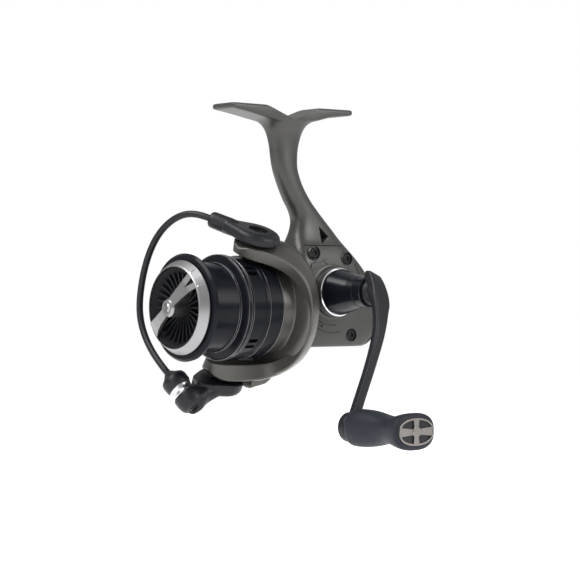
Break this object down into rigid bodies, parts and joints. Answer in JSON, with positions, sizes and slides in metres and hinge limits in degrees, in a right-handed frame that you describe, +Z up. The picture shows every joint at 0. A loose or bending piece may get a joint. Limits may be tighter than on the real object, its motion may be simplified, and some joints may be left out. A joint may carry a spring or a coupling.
{
  "type": "spinning reel",
  "caption": "Open-faced fishing reel: foot and stem on a gear housing, cranked handle with paddle knob, rotor with folding bail and line roller, sliding spool with drag knob.",
  "frame": {"origin": "centre of the top face of the foot", "axes": "+X along the rod to its tip and along the spool axis, +Y to the handle side, +Z up from the foot into the rod"},
  "size_m": [0.1064, 0.1221, 0.1325],
  "materials": {
    "dark_metal": "satin dark olive-grey",
    "black_gloss": "gloss anodised blue-black",
    "black_satin": "satin black",
    "bright": "polished",
    "steel": "turned",
    "silver": "brushed",
    "brass": "machined",
    "rubber": "matt slate",
    "zinc": "cast",
    "felt": "fibre",
    "acetal": "moulded"
  },
  "bodies": {
    "frame": {"body_frame": "dark_metal", "side_plate": "dark_metal", "side_plate_screws": "steel", "rear_cover": "dark_metal", "rear_cover_screw": "steel", "drive_bearing_handle_side": "steel", "drive_bearing_far_side": "steel", "pinion_bearing": "steel", "pinion_bush": "brass", "shaft_cap": "black_satin", "anti_reverse_clutch": "black_satin", "clutch_retainer": "steel", "clutch_screws": "steel", "guide_rod": "steel", "oscillation_axle": "steel"},
    "handle": {"drive_shaft": "steel", "drive_gear": "zinc", "oscillation_pinion": "zinc", "collar_ring": "bright", "handle_collar": "black_gloss", "handle_arm": "black_satin", "knob_spindle": "steel"},
    "grip": {"handle_knob": "rubber", "knob_cap": "silver"},
    "oscillator": {"oscillation_gear": "acetal"},
    "rotor_group": {"pinion_gear": "brass", "clutch_sleeve": "steel", "rotor": "dark_metal", "rotor_nut": "brass", "bail_arm_cover": "dark_metal", "bail_pivot_screws": "steel", "bail_spring": "steel", "bail_trip_lever": "steel"},
    "bail": {"bail_lever": "black_satin", "bail_holder": "black_satin", "bail_wire": "black_satin", "roller_cap": "black_satin", "roller_screw": "steel", "roller_bush": "acetal"},
    "roller": {"line_roller": "bright"},
    "shaft": {"main_shaft": "steel", "crosshead_slider": "zinc", "spool_sleeve": "steel", "spool_shim": "acetal"},
    "spool_group": {"spool": "black_gloss", "line_clip": "black_satin", "spool_clicker": "acetal", "drag_washers": "felt", "drag_retaining_ring": "steel"},
    "drag": {"drag_knob": "black_satin", "drag_knob_trim": "silver", "drag_knob_screw": "bright"}
  },
  "joints": [
    {"name": "rotor_spin", "type": "hinge", "parent": "frame", "child": "rotor_group", "pos_m": [0, 0, -0.08], "axis": [1, 0, 0], "continuous": true},
    {"name": "handle_spin", "type": "hinge", "parent": "frame", "child": "handle", "pos_m": [-0.017, 0, -0.074], "axis": [0, 1, 0], "continuous": true},
    {"name": "oscillation_spin", "type": "hinge", "parent": "frame", "child": "oscillator", "pos_m": [-0.017, 0, -0.0863], "axis": [0, 1, 0], "continuous": true},
    {"name": "knob_spin", "type": "hinge", "parent": "handle", "child": "grip", "pos_m": [0.00488, 0.065, -0.12555], "axis": [0, 1, 0], "continuous": true},
    {"name": "bail_open", "type": "hinge", "parent": "rotor_group", "child": "bail", "pos_m": [0.023, 0, -0.08], "axis": [0, 0.3746, 0.9272], "range_deg": [0, 92]},
    {"name": "line_roller_spin", "type": "hinge", "parent": "bail", "child": "roller", "pos_m": [0.041, -0.01293, -0.11253], "axis": [-0.333, 0.5971, -0.7298], "continuous": true},
    {"name": "spool_stroke", "type": "slide", "parent": "frame", "child": "shaft", "axis": [1, 0, 0], "range_m": [-0.006, 0.006]},
    {"name": "spool_spin", "type": "hinge", "parent": "shaft", "child": "spool_group", "pos_m": [0.04, 0, -0.08], "axis": [1, 0, 0], "continuous": true},
    {"name": "drag_turn", "type": "hinge", "parent": "shaft", "child": "drag", "pos_m": [0.05, 0, -0.08], "axis": [1, 0, 0], "range_deg": [-180, 180]}
  ],
  "couplings": [
    {"joint": "handle_spin", "follows": "rotor_spin", "ratio": -0.20455},
    {"joint": "oscillation_spin", "follows": "rotor_spin", "ratio": 0.13091}
  ]
}
